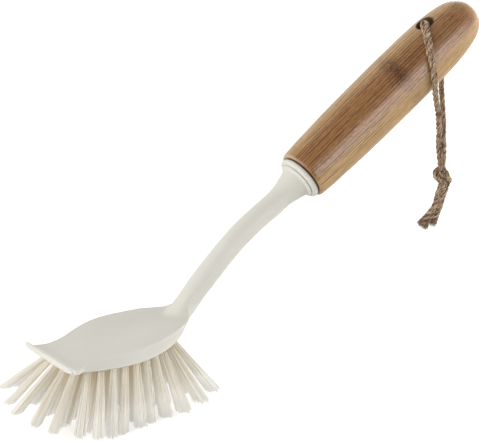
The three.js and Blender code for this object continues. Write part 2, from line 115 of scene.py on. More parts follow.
def headings(line, closed=False):
    """Along, sideways and upward directions at each point, with no twist from one to the next."""
    if closed:
        along = np.roll(line, -1, axis=0) - np.roll(line, 1, axis=0)
    else:
        along = np.gradient(line, axis=0)
    along /= np.linalg.norm(along, axis=1)[:, None]
    side = np.empty_like(along)
    start = np.cross(along[0], (0.3, 0.2, 0.93))
    side[0] = start / np.linalg.norm(start)
    for i in range(1, len(line)):
        carried = side[i - 1] - along[i] * (side[i - 1] @ along[i])
        side[i] = carried / np.linalg.norm(carried)
    return along, side, np.cross(along, side)


def sleeve(name, rings, length=None, closed=False):
    """A flat grid rolled into a tube through rings of points, with its ends closed."""
    rings = np.asarray(rings)
    if closed:
        rings = np.concatenate([rings, rings[:1]])
    count, around = rings.shape[:2]
    bpy.ops.object.select_all(action="DESELECT")
    bpy.ops.mesh.primitive_grid_add(x_subdivisions=around, y_subdivisions=count - 1, size=1.0)
    made = bpy.context.object
    made.name = name
    rolled = np.concatenate([rings, rings[:, :1]], axis=1)
    made.data.vertices.foreach_set("co", rolled.astype(np.float32).ravel())
    if length is not None:
        spots = np.empty(2 * len(made.data.loops), np.float32)
        made.data.uv_layers[0].data.foreach_get("uv", spots)
        spots[1::2] *= length / (10 * mm)
        made.data.uv_layers[0].data.foreach_set("uv", spots)
    bpy.ops.object.mode_set(mode="EDIT")
    bpy.ops.mesh.select_all(action="SELECT")
    bpy.ops.mesh.remove_doubles(threshold=1e-6)
    bpy.ops.mesh.fill_holes(sides=0)
    bpy.ops.mesh.normals_make_consistent(inside=False)
    bpy.ops.object.mode_set(mode="OBJECT")
    bpy.ops.object.shade_smooth_by_angle(angle=math.radians(42))
    return made


def joined(name, parts):
    """Several meshes made into one piece."""
    bpy.ops.object.select_all(action="DESELECT")
    for part in parts:
        part.select_set(True)
    bpy.context.view_layer.objects.active = parts[0]
    bpy.ops.object.join()
    parts[0].name = name
    parts[0].data.name = name
    return parts[0]


def fibres(name, lines, thickness, taper=0.5):
    """Many fine three-sided fibres in one mesh, one for each row of points, each with its tone."""
    lines = np.asarray(lines, float)
    count, steps = lines.shape[:2]
    along = np.gradient(lines, axis=1)
    along /= np.linalg.norm(along, axis=2)[:, :, None]
    side = np.cross(along, (0.61, 0.33, 0.72))
    side /= np.linalg.norm(side, axis=2)[:, :, None]
    lift = np.cross(along, side)
    girth = 0.5 * np.reshape(thickness, (-1, 1)) * np.linspace(1.0, taper, steps)
    spokes = 2 * math.pi / 3 * np.arange(3)
    rings = lines[:, :, None] + girth[:, :, None, None] * (
        np.cos(spokes)[:, None] * side[:, :, None] + np.sin(spokes)[:, None] * lift[:, :, None])
    pattern = [(3 * s + j, 3 * s + (j + 1) % 3, 3 * s + 3 + (j + 1) % 3, 3 * s + 3 + j)
               for s in range(steps - 1) for j in range(3)]
    first = (np.arange(count) * 3 * steps)[:, None, None]
    walls = (first + np.array(pattern)[None]).reshape(-1, 4).tolist()
    last = 3 * (steps - 1)
    ends = (first + np.array([(2, 1, 0), (last, last + 1, last + 2)])[None]).reshape(-1, 3).tolist()
    mesh = bpy.data.meshes.new(name)
    mesh.from_pydata(rings.reshape(-1, 3).tolist(), [], walls + ends)
    tone = mesh.attributes.new("tone", "FLOAT", "POINT")
    tone.data.foreach_set("value", np.repeat(chance.random(count), 3 * steps).astype(np.float32))
    mesh.polygons.foreach_set("use_smooth", np.ones(len(mesh.polygons), bool))
    made = bpy.data.objects.new(name, mesh)
    scene.collection.objects.link(made)
    return made


def twine(name, route, closed=False, fray=0.0, turned=0.0, full=1.0):
    """Three plies laid round a route. fray opens the far end, full is the twine's fullness."""
    along, side, lift = headings(route, closed)
    gone = np.concatenate([[0.0], np.cumsum(np.linalg.norm(np.diff(route, axis=0), axis=1))])
    length = gone[-1] + (np.linalg.norm(route[0] - route[-1]) if closed else 0.0)
    turns = round(length / lay_length) if closed else length / lay_length
    share = gone / length
    open_up = 1.0 + fray * np.clip((share - 0.55) / 0.45, 0, 1) ** 1.5
    full = np.interp(share, *full) if isinstance(full, tuple) else np.full(len(route), full)
    plies = []
    for k in range(3):
        phase = 2 * math.pi * (turns * share + k / 3) + turned
        drift = 0.09 * np.sin(2 * math.pi * (3.3 * share + chance.random()))
        reach = ((ply_offset + 0.03 * drift) * cord_thickness * full * open_up)[:, None]
        core = route + reach * np.cos(phase)[:, None] * side + reach * np.sin(phase)[:, None] * lift
        _, across, over = headings(core, closed)
        girth = (ply_half * cord_thickness * full * (1 + drift))[:, None, None]
        turn_round = 2 * math.pi / ply_sides * np.arange(ply_sides)
        ring = core[:, None] + girth * (np.cos(turn_round)[:, None] * across[:, None]
                                        + np.sin(turn_round)[:, None] * over[:, None])
        plies.append(sleeve(f"{name}_ply_{k}", ring, length, closed))
    return joined(name, plies)


def loose_hairs(name, route, count, reach):
    """Stray jute hairs that stand off the twine."""
    along, side, lift = headings(route)
    at = chance.integers(1, len(route) - 1, count)
    angle = 2 * math.pi * chance.random(count)
    out = np.cos(angle)[:, None] * side[at] + np.sin(angle)[:, None] * lift[at]
    sweep = along[at] * chance.choice([-1.0, 1.0], count)[:, None]
    long = reach * (0.4 + 0.6 * chance.random(count))[:, None]
    start = route[at] + 0.4 * cord_thickness * out
    bow = start + long * (0.35 * out + 0.5 * sweep)
    tip = bow + long * (0.5 * out + 0.25 * sweep + 0.3 * (chance.random((count, 3)) - 0.5))
    return fibres(name, np.stack([start, bow, tip], axis=1), 0.07 * mm, 0.4)


# level directions from one run to the other, and square to that
leg_apart = np.array((0.7733, 0.6341, 0.0))
leg_across = np.array((-0.6341, 0.7733, 0.0))


def twisted_end(way):
    """The last stretch above the knot, where the two runs lie round each other for half a turn."""
    stretch = []
    for k in range(7):
        spin = math.radians(42 + 20 * k)
        middle = np.array((98.85 + 0.12 * k, -6.55 - 0.05 * k, 90.0 - 2.63 * k))
        aside = math.cos(spin) * leg_apart - math.sin(spin) * leg_across
        stretch.append(tuple(middle + way * (1.22 - 0.03 * k) * aside))
    return stretch


front_points = [(102.0, -0.4, 127.6), (96.5, -0.3, 135.7), (92.6, -0.5, 141.2), (91.1, -1.7, 142.7),
                (89.6, -4.1, 141.7), (87.9, -6.75, 139.9), (86.6, -9.55, 136.9),
                (85.8, -12.05, 133.4), (85.6, -13.9, 129.0), (86.05, -14.85, 123.4),
                (86.7, -14.75, 120.3), (87.75, -13.7, 117.2), (89.75, -12.83, 109.97),
                (92.27, -11.57, 102.71), (94.75, -9.41, 96.47), *twisted_end(-1)]
front_fullness = ((0.0, 0.16, 0.3, 0.5, 1.0), (1.35, 1.62, 1.4, 1.06, 1.06))
back_points = [(102.0, -0.2, 127.6), (103.75, 0.35, 122.9), (104.6, 0.6, 119.9),
               (104.45, 0.55, 117.4), (104.15, 0.4, 115.3), (103.5, -0.3, 111.6),
               (102.83, -2.04, 104.77), (102.14, -4.07, 96.49), *twisted_end(1)]
front_route, front_marks = evenly(spline(np.array(front_points) * mm, 12), route_step)
back_route, back_marks = evenly(spline(np.array(back_points) * mm, 12), route_step)
cord_front_run = joined("cord_front_run", [twine("front_twine", front_route, full=front_fullness),
                                           loose_hairs("front_hairs", front_route, 260, 2.0 * mm)])
cord_back_run = joined("cord_back_run", [twine("back_twine", back_route, turned=1.0),
                                         loose_hairs("back_hairs", back_route, 200, 2.0 * mm)])

# the knot: two turns round a core, and two strands that cross in front of them
wrap_steps = 64
wrap_axis = 0.62 * picture_right + 0.78 * picture_up
wrap_long = 0.78 * picture_right - 0.62 * picture_up
wraps = []
for k, (shift, long_way, deep_way) in enumerate([(-1.25, 2.85, 2.5), (1.2, 3.05, 2.6)]):
    around = 2 * math.pi / wrap_steps * np.arange(wrap_steps)
    ring = (knot_centre + shift * mm * wrap_axis + 0.25 * mm * wrap_long
            + long_way * mm * np.cos(around)[:, None] * wrap_long
            + deep_way * mm * np.sin(around)[:, None] * towards_camera)
    wraps.append(twine(f"knot_wrap_{k}", ring, closed=True, full=1.06))
core_points = np.array([knot_centre + way * 1.2 * mm * leg_across + drop * mm * np.array((0, 0, 1))
                        for way, drop in [(1, 4.6), (0.6, 2.0), (0.3, -1.5), (0.1, -4.2)]])
core_route, _ = evenly(spline(core_points, 10), route_step)
picture_axes = np.array([picture_right, picture_up, towards_camera])
crossing_points = [(0.92, [(-0.6, 4.6, 0.4), (-2.9, 3.2, 1.0), (-3.1, 1.0, 1.9),
                           (-1.2, -1.2, 3.3), (1.3, -3.2, 2.6), (0.6, -5.2, 0.6)]),
                   (0.98, [(0.2, 4.6, 0.6), (1.3, 2.9, 1.5), (2.4, 0.9, 1.9),
                           (2.7, -1.4, 1.7), (1.9, -3.4, 1.3), (0.6, -5.0, 0.5)])]
crossings = []
for k, (full, points) in enumerate(crossing_points):
    route, _ = evenly(spline(knot_centre + np.array(points) @ picture_axes * mm, 10), route_step)
    crossings.append(twine(f"knot_cross_{k}", route, full=full))
cord_knot = joined("overhand_knot", [*wraps, twine("knot_core", core_route, full=1.1), *crossings,
                                     loose_hairs("knot_hairs", core_route, 60, 3.2 * mm)])

# the tails: twine that opens towards its end, with loose fibres fanned out of it
tail_points = {
    "front": [(99.9, -7.4, 69.0), (98.67, -7.83, 66.02), (97.19, -7.98, 62.83), (95.3, -8.06, 57.7),
              (92.5, -7.24, 53.13), (89.9, -6.3, 49.31)],
    "back": [(100.6, -8.4, 69.0), (99.97, -9.28, 65.49), (98.6, -9.12, 61.99), (97.05, -8.57, 56.5),
             (95.5, -7.5, 52.6), (94.5, -6.5, 49.9)]}
fray_count = 460
tails = []
for way, points in tail_points.items():
    route, _ = evenly(spline(np.array(points) * mm, 12), route_step)
    along, side, lift = headings(route)
    angle = 2 * math.pi * chance.random(fray_count)
    out = np.cos(angle)[:, None] * side[-1] + np.sin(angle)[:, None] * lift[-1]
    off = np.sqrt(chance.random(fray_count))[:, None]
    start = route[-20] + 1.3 * mm * off * out
    bow = route[-8] + 1.9 * mm * off * out + 0.7 * mm * (chance.random((fray_count, 3)) - 0.5)
    tip = (route[-1] + 2.9 * mm * off * out
           + along[-1] * (2.2 * chance.random((fray_count, 1)) - 0.4) * mm
           + 1.2 * mm * (chance.random((fray_count, 3)) - 0.5))
    tails += [twine(f"tail_{way}", route, fray=1.0, full=1.24),
              fibres(f"fray_{way}", np.stack([start, bow, tip], axis=1), 0.16 * mm, 0.5),
              loose_hairs(f"hairs_{way}", route, 140, 2.0 * mm)]
cord_tails = joined("frayed_tails", tails)


def feed(tree, node, sockets):
    """Gives a node's inputs their values or links."""
    for key, value in sockets.items():
        if isinstance(value, bpy.types.NodeSocket):
            tree.links.new(value, node.inputs[key])
        else:
            node.inputs[key].default_value = value


def put(tree, kind, sockets=None, **settings):
    """A shader node with its settings and its inputs."""
    made = tree.nodes.new(kind)
    for key, value in settings.items():
        setattr(made, key, value)
    feed(tree, made, sockets or {})
    return made


def maths(tree, operation, *values, **settings):
    """The result of a Math node on one to three values."""
    return put(tree, "ShaderNodeMath", dict(enumerate(values)), operation=operation, **settings).outputs[0]


def noise(tree, vector, scale, detail, roughness=0.5):
    """Fractal noise over a vector."""
    return put(tree, "ShaderNodeTexNoise", {"Vector": vector, "Scale": scale, "Detail": detail,
                                            "Roughness": roughness}).outputs["Fac"]


def ranged(tree, value, low, high, to_low=0.0, to_high=1.0, soft=False):
    """A value carried from one span to another, eased at both ends if soft."""
    return put(tree, "ShaderNodeMapRange", {"Value": value, "From Min": low, "From Max": high,
                                            "To Min": to_low, "To Max": to_high},
               interpolation_type="SMOOTHSTEP" if soft else "LINEAR").outputs[0]


def mixed(tree, factor, first, second):
    """A colour between two others."""
    return put(tree, "ShaderNodeMix", {"Factor": factor, 6: first, 7: second}, data_type="RGBA").outputs[2]


def ramp(tree, factor, *stops):
    """A colour ramp through stops of place and colour."""
    made = put(tree, "ShaderNodeValToRGB", {"Fac": factor})
    marks = made.color_ramp.elements
    for mark, (position, colour) in zip(marks, (stops[0], stops[-1])):
        mark.position, mark.color = position, colour
    for position, colour in stops[1:-1]:
        marks.new(position).color = colour
    return made.outputs["Color"]


def effect(name, inputs, outputs):
    """An empty node group with named sockets, and its two ends."""
    group = bpy.data.node_groups.new(name, "ShaderNodeTree")
    for title, kind, value in inputs:
        socket = group.interface.new_socket(name=title, in_out="INPUT", socket_type=kind)
        if value is not None:
            socket.default_value = value
    for title, kind in outputs:
        group.interface.new_socket(name=title, in_out="OUTPUT", socket_type=kind)
    return group, group.nodes.new("NodeGroupInput"), group.nodes.new("NodeGroupOutput")


def finish(name):
    """A new material with its Principled BSDF, ready for a surface of its own."""
    material = bpy.data.materials.new(name)
    material.use_nodes = True
    return material, material.node_tree, material.node_tree.nodes["Principled BSDF"]


def coat(piece, material):
    """Gives a piece its one material."""
    piece.data.materials.clear()
    piece.data.materials.append(material)


# Fibre streaks, an effect that twine and bamboo share: noise drawn out along one axis of the vector,
# as a tone with its own contrast and as finer lines for the bump.
streaks, given, out = effect(
    "fibre_streaks",
    [("Vector", "NodeSocketVector", None), ("Stretch", "NodeSocketVector", (1.0, 1.0, 1.0)),
     ("Contrast", "NodeSocketFloat", 1.0)],
    [("Tone", "NodeSocketFloat"), ("Fine", "NodeSocketFloat")])
drawn = put(streaks, "ShaderNodeVectorMath", {0: given.outputs["Vector"], 1: given.outputs["Stretch"]},
            operation="MULTIPLY").outputs[0]
level = maths(streaks, "SUBTRACT", noise(streaks, drawn, 1.0, 3.0, 0.55), 0.5)
scaled = maths(streaks, "MULTIPLY_ADD", level, given.outputs["Contrast"], 0.5, use_clamp=True)
feed(streaks, out, {"Tone": scaled, "Fine": noise(streaks, drawn, 3.7, 2.0, 0.6)})

jute, tree, surface = finish("jute_twine")
along_ply = put(tree, "ShaderNodeUVMap", uv_map="UVMap").outputs["UV"]
place = put(tree, "ShaderNodeTexCoord").outputs["Object"]
lines = put(tree, "ShaderNodeGroup", {"Vector": along_ply, "Stretch": (13.0, 2.8, 1.0), "Contrast": 3.8},
            node_tree=streaks).outputs
blotch = maths(tree, "MULTIPLY_ADD", noise(tree, place, 1350.0, 4.0), 1.5, -0.74)
toned = maths(tree, "ADD", lines["Tone"], blotch, use_clamp=True)
shades = ramp(tree, toned, (0.12, (0.078, 0.04, 0.02, 1)), (0.48, (0.31, 0.2, 0.122, 1)),
              (0.9, (0.66, 0.51, 0.35, 1)))
ridge = put(tree, "ShaderNodeBump", {"Height": lines["Fine"], "Strength": 0.55, "Distance": 0.0002})
feed(tree, surface, {"Base Color": shades, "Normal": ridge.outputs["Normal"], "Roughness": 0.86,
                     "Specular IOR Level": 0.25})

for piece in (cord_front_run, cord_back_run, cord_knot, cord_tails):
    coat(piece, jute)
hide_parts("cord_over_handle", "cord_front_leg")
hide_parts("cord_over_handle", "cord_back_leg")
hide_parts("cord_knot")
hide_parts("cord_tail_front", "cord_tail_back")
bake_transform(cord_front_run)
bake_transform(cord_back_run)
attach(cord_knot, "hanging_loop")
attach(cord_tails, "hanging_loop")

# Head and neck: one cream moulding. The plate is an oval below and waisted above behind the curled
# scraper lip, and the neck grows out of its rear in a soft hollow. Both are remeshed into one skin.
head_length, head_half, head_thick, underside = 71.2, 19.3, 6.4, 28.8
head_front = -108.4
lip = 35.3 / 38.6  # the lip's width as a share of the head's
underside_edge = [(0, 0.8 * lip, 0.34), (0.005, 0.84 * lip, 0.3), (0.017, 0.85 * lip, 0.24),
                  (0.036, 0.77 * lip, 0.12), (0.067, 0.69, 0), (0.112, 0.8, 0), (0.169, 0.885, 0),
                  (0.235, 0.97, 0), (0.309, 1.047, 0), (0.393, 1.088, 0), (0.487, 1.083, 0),
                  (0.586, 1.005, 0), (0.684, 0.865, 0), (0.765, 0.7, 0), (0.832, 0.535, 0),
                  (0.884, 0.365, 0), (0.915, 0.18, 0), (0.925, 0.04, 0)]
top_edge = [(0.003, 0.94 * lip, 0.6), (0.01, 1.01 * lip, 0.69), (0.022, 1.03 * lip, 0.64),
            (0.04, 0.98 * lip, 0.45), (0.077, 0.93 * lip, 0.385), (0.122, 0.77, 0.42),
            (0.176, 0.75, 0.465), (0.239, 0.782, 0.54), (0.316, 0.87, 0.66), (0.4, 0.953, 0.785),
            (0.492, 1, 0.885), (0.59, 0.974, 0.95), (0.688, 0.895, 1.01), (0.787, 0.775, 1.08),
            (0.86, 0.635, 1.12), (0.915, 0.49, 1.18), (0.953, 0.365, 1.5), (0.975, 0.15, 2.1)]


def plate_edge(rows):
    """A smooth edge of the plate from its shares of length, half width and thickness."""
    points = [(head_front + x * head_length, y * head_half, underside + z * head_thick) for x, y, z in rows]
    line = spline(points, 9)
    line[:, 2] = np.maximum(line[:, 2], underside)
    return line


# rings across the plate, with a facet along the lip's two ends that fades out behind it
lip_run, lip_fade, rim_width = 0.165, 0.05, 0.45
plate_rings = []
for low, high in zip(plate_edge(underside_edge), plate_edge(top_edge)):
    wing = np.clip((lip_run - (high[0] - head_front) / head_length) / lip_fade, 0, 1)
    foot = high + np.array((0.0, 0.75 * wing, -min(1.7 * wing, 0.7 * (high[2] - low[2]))))
    half_ring = [low * (1, share, 1) for share in (0.0, 0.3, 0.6, 0.85, 0.97)]
    half_ring += [low + (foot - low) * share for share in (0.06, 0.3, 0.6, 0.86, 1.0)]
    half_ring += [foot + (high - foot) * share for share in (0.4, 0.8)]
    inner = max(0.2 * high[1], high[1] - rim_width)
    half_ring += [np.array((high[0], inner * share, high[2]))
                  for share in (1.0, 0.88, 0.7, 0.5, 0.3, 0.12, 0.0)]
    mirrored = [point * (1, -1, 1) for point in half_ring[-2:0:-1]]
    plate_rings.append(np.array(half_ring + mirrored) * mm)
plate = sleeve("plate", plate_rings)

collar_centre = np.array((24.232, 0.0, 84.684))
pitch = math.radians(32.15)
handle_along = np.array((math.cos(pitch), 0.0, math.sin(pitch)))
handle_over = np.array((-math.sin(pitch), 0.0, math.cos(pitch)))
neck_root = np.array((-53.718, 0.0, 32.384))
neck_reach, neck_rise, wide, deep, flare = 77.95, 52.3, 4.98, 4.83, 7.55
neck_stations = [(0.03, 0, 1.6 * wide, 2.2), (0.105, 0.036, 1.25 * wide, 3.0),
                 (0.158, 0.08, 1.14 * wide, 4.15), (0.209, 0.148, 1.02 * wide, 4.75),
                 (0.284, 0.26, wide, deep), (0.425, 0.447, wide, deep), (0.556, 0.603, wide, deep),
                 (0.695, 0.731, wide, deep)]
neck_rows = [(*(neck_root + (fx * neck_reach, 0, fz * neck_rise)), w, d) for fx, fz, w, d in neck_stations]
for back, w in ((-19.1, wide), (-13.3, 5.1), (-8.8, 6.1), (-5.5, 7.0), (-3.2, flare)):
    neck_rows.append((*(collar_centre + back * handle_along), w, w))
neck_line = spline(neck_rows, 9)
neck_along = np.gradient(neck_line[:, :3], axis=0)
neck_along /= np.linalg.norm(neck_along, axis=1)[:, None]
neck_lift = np.cross(neck_along, (0.0, 1.0, 0.0))
neck_lift *= np.sign(neck_lift[:, 2])[:, None]
neck_sides = 40
around = 2 * math.pi / neck_sides * np.arange(neck_sides)
# the neck's section is a little squared, and round at the collar
round_power = 0.93 + 0.07 * np.clip((np.linspace(0, 1, len(neck_line)) - 0.75) / 0.2, 0, 1)[:, None]
cosine, sine = np.cos(around)[None], np.sin(around)[None]
wide_part = np.sign(cosine) * np.abs(cosine) ** round_power * neck_line[:, 3:4]
deep_part = np.sign(sine) * np.abs(sine) ** round_power * neck_line[:, 4:5]
neck_rings = (neck_line[:, None, :3] + wide_part[:, :, None] * np.array((0.0, 1.0, 0.0))
              + deep_part[:, :, None] * neck_lift[:, None])
neck = sleeve("neck", neck_rings * mm)


def settle(piece, kind, **settings):
    """Adds a modifier and applies it."""
    bpy.ops.object.select_all(action="DESELECT")
    piece.select_set(True)
    bpy.context.view_layer.objects.active = piece
    made = piece.modifiers.new(kind.lower(), kind)
    for key, value in settings.items():
        setattr(made, key, value)
    bpy.ops.object.modifier_apply(modifier=made.name)


head_moulding = joined("head_moulding", [plate, neck])
settle(head_moulding, "REMESH", mode="VOXEL", voxel_size=0.36 * mm, use_smooth_shade=True)
settle(head_moulding, "SMOOTH", factor=0.5, iterations=2)
# the skin is smoothed on the flat top inside the rim, and most in the hollow at the neck's root
spots = np.empty(3 * len(head_moulding.data.vertices), np.float32)
head_moulding.data.vertices.foreach_get("co", spots)
spots = spots.reshape(-1, 3) / mm
rim = np.interp(spots[:, 0], [head_front + x * head_length for x, _, _ in top_edge],
                [y * head_half for _, y, _ in top_edge])
inside_rim = np.clip((rim - np.abs(spots[:, 1]) - 0.7) / 2.5, 0, 1)
inside_rim = np.maximum(inside_rim, np.clip((spots[:, 2] - 37.2) / 1.5, 0, 1))
hollow_centre, hollow_reach = (-43.0, 0.0, 37.0), (17.0, 15.5, 9.0)
near_root = np.clip(1.4 - np.linalg.norm((spots - hollow_centre) / hollow_reach, axis=1), 0, 1)
for title, weights, rounds in (("flat_top", inside_rim * (spots[:, 2] > underside + 2.0), 10),
                               ("root_hollow", inside_rim * near_root, 140)):
    group = head_moulding.vertex_groups.new(name=title)
    for share in np.arange(1, 11) / 10:
        chosen = np.flatnonzero(np.round(weights, 1) == np.round(share, 1))
        group.add(chosen.tolist(), float(share), "REPLACE")
    settle(head_moulding, "SMOOTH", factor=0.5, iterations=rounds, vertex_group=title)

# Collar and tang: the end of the same moulding, a rounded ring that meets the bamboo and a ribbed
# peg that is driven into its socket.


def turned_piece(name, profile, centre, axis, over, steps):
    """A profile of radius and height, drawn point by point and spun round its axis."""
    rows = [(np.asarray(centre) + h * np.asarray(axis) + r * np.asarray(over)) * mm for r, h in profile]
    bpy.ops.object.select_all(action="DESELECT")
    bpy.ops.mesh.primitive_plane_add(size=1.0)
    made = bpy.context.object
    made.name = name
    bpy.ops.object.mode_set(mode="EDIT")
    bpy.ops.mesh.select_all(action="SELECT")
    bpy.ops.mesh.merge(type="CENTER")
    bpy.ops.transform.translate(value=rows[0])
    for before, after in zip(rows, rows[1:]):
        bpy.ops.mesh.extrude_region_move(TRANSFORM_OT_translate={"value": after - before})
    bpy.ops.mesh.select_all(action="SELECT")
    bpy.ops.mesh.spin(steps=steps, angle=2 * math.pi, center=np.asarray(centre) * mm, axis=axis)
    bpy.ops.mesh.select_all(action="SELECT")
    bpy.ops.mesh.remove_doubles(threshold=1e-6)
    bpy.ops.mesh.normals_make_consistent(inside=False)
    bpy.ops.object.mode_set(mode="OBJECT")
    bpy.ops.object.shade_smooth_by_angle(angle=math.radians(38))
    return made


tang_length, tang_radius, rib_radius = 28.0, 4.2, 4.7
collar_profile = [(0.0, tang_length), (3.3, tang_length), (tang_radius, 26.8)]
for k in (3, 2, 1, 0):
    foot = (0.16 + 0.2 * k) * tang_length
    collar_profile += [(tang_radius, foot + 3.2), (rib_radius, foot + 0.6), (rib_radius, foot),
                       (tang_radius, foot)]
collar_profile += [(tang_radius, -0.3), (9.2, -0.3), (9.8, -0.38), (10.2, -0.68), (10.41, -1.1),
                   (10.45, -1.55), (10.4, -2.0), (10.2, -2.4), (9.85, -2.67), (9.4, -2.82),
                   (9.1, -2.85), (8.2, -2.85), (8.2, -3.27), (8.6, -3.29), (8.65, -3.44),
                   (8.4, -3.66), (8.0, -3.86), (7.6, -4.06), (7.2, -4.3), (0.0, -4.3)]
collar_ring = turned_piece("collar_ring", collar_profile, collar_centre, handle_along, handle_over, 96)

cream, tree, surface = finish("cream_moulding")
place = put(tree, "ShaderNodeTexCoord").outputs["Object"]
sharp = put(tree, "ShaderNodeNewGeometry").outputs["Pointiness"]
cloud = noise(tree, place, 55.0, 4.0)
tint = ramp(tree, cloud, (0.3, (0.71, 0.685, 0.612, 1)), (0.7, (0.742, 0.718, 0.645, 1)))
# painted highlight: the colour turns paler towards white on sharp convex edges
edge_highlight = mixed(tree, ranged(tree, sharp, 0.5, 0.6, 0.0, 0.5), tint, (0.9, 0.885, 0.845, 1))
gloss = ranged(tree, cloud, 0.3, 0.7, 0.5, 0.6)
skin = put(tree, "ShaderNodeBump", {"Height": noise(tree, place, 2600.0, 2.0), "Strength": 0.05,
                                    "Distance": 0.0001})
feed(tree, surface, {"Base Color": edge_highlight, "Roughness": gloss, "Normal": skin.outputs["Normal"],
                     "Specular IOR Level": 0.25})
for piece in (head_moulding, collar_ring):
    coat(piece, cream)
    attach(piece, "brush")
    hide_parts("head_and_neck")

# Bristle tufts: cream filaments folded in half and driven into blind holes in three rings, fanned
# out from the middle of the head. Each tuft is a bundle of separate filaments, trimmed to a low dome
# and cut off at the table.
filaments_each = 100
filament_thickness = 0.29
strand_length, sunk = 29.3, 1.0
filament_shares = (0.0, 0.12, 0.4, 0.7, 1.0)
field_middle, field_reach, field_half = -73.797, 27.626, 19.2
outer_side = [(-99.425, 2.529), (-98.059, 7.415), (-95.033, 11.509), (-90.76, 14.422),
              (-85.919, 16.333), (-80.782, 17.269), (-75.552, 17.349), (-70.369, 16.67),
              (-65.319, 15.335), (-60.467, 13.43), (-55.991, 10.808), (-51.993, 7.533)]
inner_side = [(-92.699, 2.984), (-88.739, 7.916), (-82.082, 10.466), (-74.722, 10.906),
              (-67.487, 9.673), (-60.848, 7.043), (-55.681, 2.803)]
tuft_sets = {"bristles_outer_left": outer_side,
             "bristles_outer_right": [(x, -y) for x, y in outer_side],
             "bristles_inner_ring": inner_side + [(x, -y) for x, y in inner_side],
             "bristles_centre_row": [(-84.364, 0.0), (-77.319, 0.0), (-70.275, 0.0), (-63.23, 0.0)]}


def tuft_lean(x, y):
    """How far a tuft's tip lies from its root: further at both ends, and on one side of the front."""
    ahead = max(0.0, field_middle - x) / field_reach
    behind = max(0.0, x - field_middle) / field_reach
    aside = y / field_half
    dx = 19.2 * behind ** 1.47 - 20.6 * ahead ** 0.9 * (1 + 0.24 * aside)
    splay = np.interp(ahead, (0.0, 0.25, 0.44, 0.61, 0.77, 0.88, 0.93),
                      (3.3, 5.2, 9.5, 18.0, 22.5, 18.8, 28.0))
    dy = (splay + 54.0 * behind ** 3) * aside
    return np.array((dx, dy, -math.sqrt(strand_length ** 2 - dx ** 2 - dy ** 2)))


def at_front(x):
    """0 behind the front tufts and 1 at those under the lip."""
    return np.clip((-90.0 - x) / 5.0, 0, 1)


def tuft(x, y, inner):
    """The filaments of one tuft, as rows of points: narrower at the front and wider at the rear."""
    rear = np.clip((x + 63.0) / 5.0, 0, 1)
    full = 1.25 if inner else 1.0
    root_width, fan = 1.25 + 0.25 * rear, 1.65 - 0.55 * at_front(x) + 0.35 * rear
    root = np.array((x, y, underside + sunk))
    lean = tuft_lean(x, y) * (strand_length + sunk) / strand_length
    if inner:
        first, second = (0.8, 1.25) if y > 0 else (0.9, 1.0)
        lean[:2] *= np.interp(x, (-93.0, -89.0, -83.0, -75.0, -74.0, -59.0, -57.0),
                              (first, second, 1.0, 1.0, 0.6, 0.6, 1.15))
        lean[2] = max(lean[2], -math.sqrt((strand_length + sunk) ** 2 - lean[0] ** 2 - lean[1] ** 2))
    lean += chance.normal(0, 0.35, 3) * (1, 1, 0)
    angle = 2 * math.pi * chance.random(filaments_each)
    off = np.sqrt(chance.random(filaments_each))
    spoke = np.stack([off * np.cos(angle), off * np.sin(angle), np.zeros(filaments_each)], axis=1)
    wander = chance.normal(0, 0.3, (filaments_each, 3)) * (1, 1, 0)
    cut = 1.0 + chance.normal(0, 0.012, filaments_each) + 0.035 * (0.5 - off ** 2)
    rows = []
    for share in filament_shares:
        width = full * (root_width + fan * share ** 1.15)
        bow = 4 * share * (1 - share)
        rows.append(root + lean * (share * cut[:, None]) + width * spoke
                    + wander * (share ** 2 + 0.5 * bow))
    lines = np.stack(rows, axis=1)
    end, before = lines[:, -1], lines[:, -2]
    below = (end[:, 2] / (end[:, 2] - before[:, 2]))[:, None]
    lines[:, -1] = np.where(end[:, 2:] < 0.0, end + below * (before - end), end)
    return lines * mm


# Painted shade and painted glow: a per-point layer darkens and warms the filaments towards their roots and on
# the inner tufts, where shade falls between them, and the filaments glow faintly through their emission, most
# at the tips.
bristle, tree, surface = finish("cream_bristle")
own = put(tree, "ShaderNodeAttribute", attribute_name="tone").outputs["Fac"]
painted_shade = put(tree, "ShaderNodeAttribute", attribute_name="painted_shade_layer").outputs["Fac"]
hue = ramp(tree, own, (0.0, (0.79, 0.73, 0.6, 1)), (0.55, (0.92, 0.91, 0.88, 1)))
shaded = mixed(tree, painted_shade, hue, (0.6, 0.475, 0.255, 1))
painted_glow = mixed(tree, ranged(tree, painted_shade, 0.0, 0.12, 1.0, 0.0), shaded, (1.34, 1.33, 1.3, 1))
feed(tree, surface, {"Base Color": shaded, "Roughness": ranged(tree, own, 0.0, 1.0, 0.3, 0.5),
                     "Specular IOR Level": 0.4, "Emission Color": painted_glow, "Emission Strength": 0.17})

# painted shade at the roots, strongest on the inner ring and the centre row and reaching further along the
# front tufts, fading out towards the tips; the front tufts keep a trace of it at their tips, so they glow
# less there
shade_at_root = {"bristles_outer_left": 0.48, "bristles_outer_right": 0.48, "bristles_inner_ring": 1.0,
                 "bristles_centre_row": 1.0}
for name, roots in tuft_sets.items():
    lines = np.concatenate([tuft(x, y, "outer" not in name) for x, y in roots])
    filaments = fibres(name.replace("bristles", "tufts"), lines, filament_thickness * mm, 1.0)
    front = np.repeat([at_front(x) for x, _ in roots], filaments_each)[:, None]
    fade = (shade_at_root[name] * (1 - 0.2 * front)
            * (1.0 - np.array(filament_shares)) ** (1.6 - 0.7 * front))
    fade = np.maximum(fade, 0.06 * front)
    painted_shade_layer = filaments.data.attributes.new("painted_shade_layer", "FLOAT", "POINT")
    painted_shade_layer.data.foreach_set("value", np.repeat(fade.ravel(), 3).astype(np.float32))
    coat(filaments, bristle)
    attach(filaments, "brush")
    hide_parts(name)

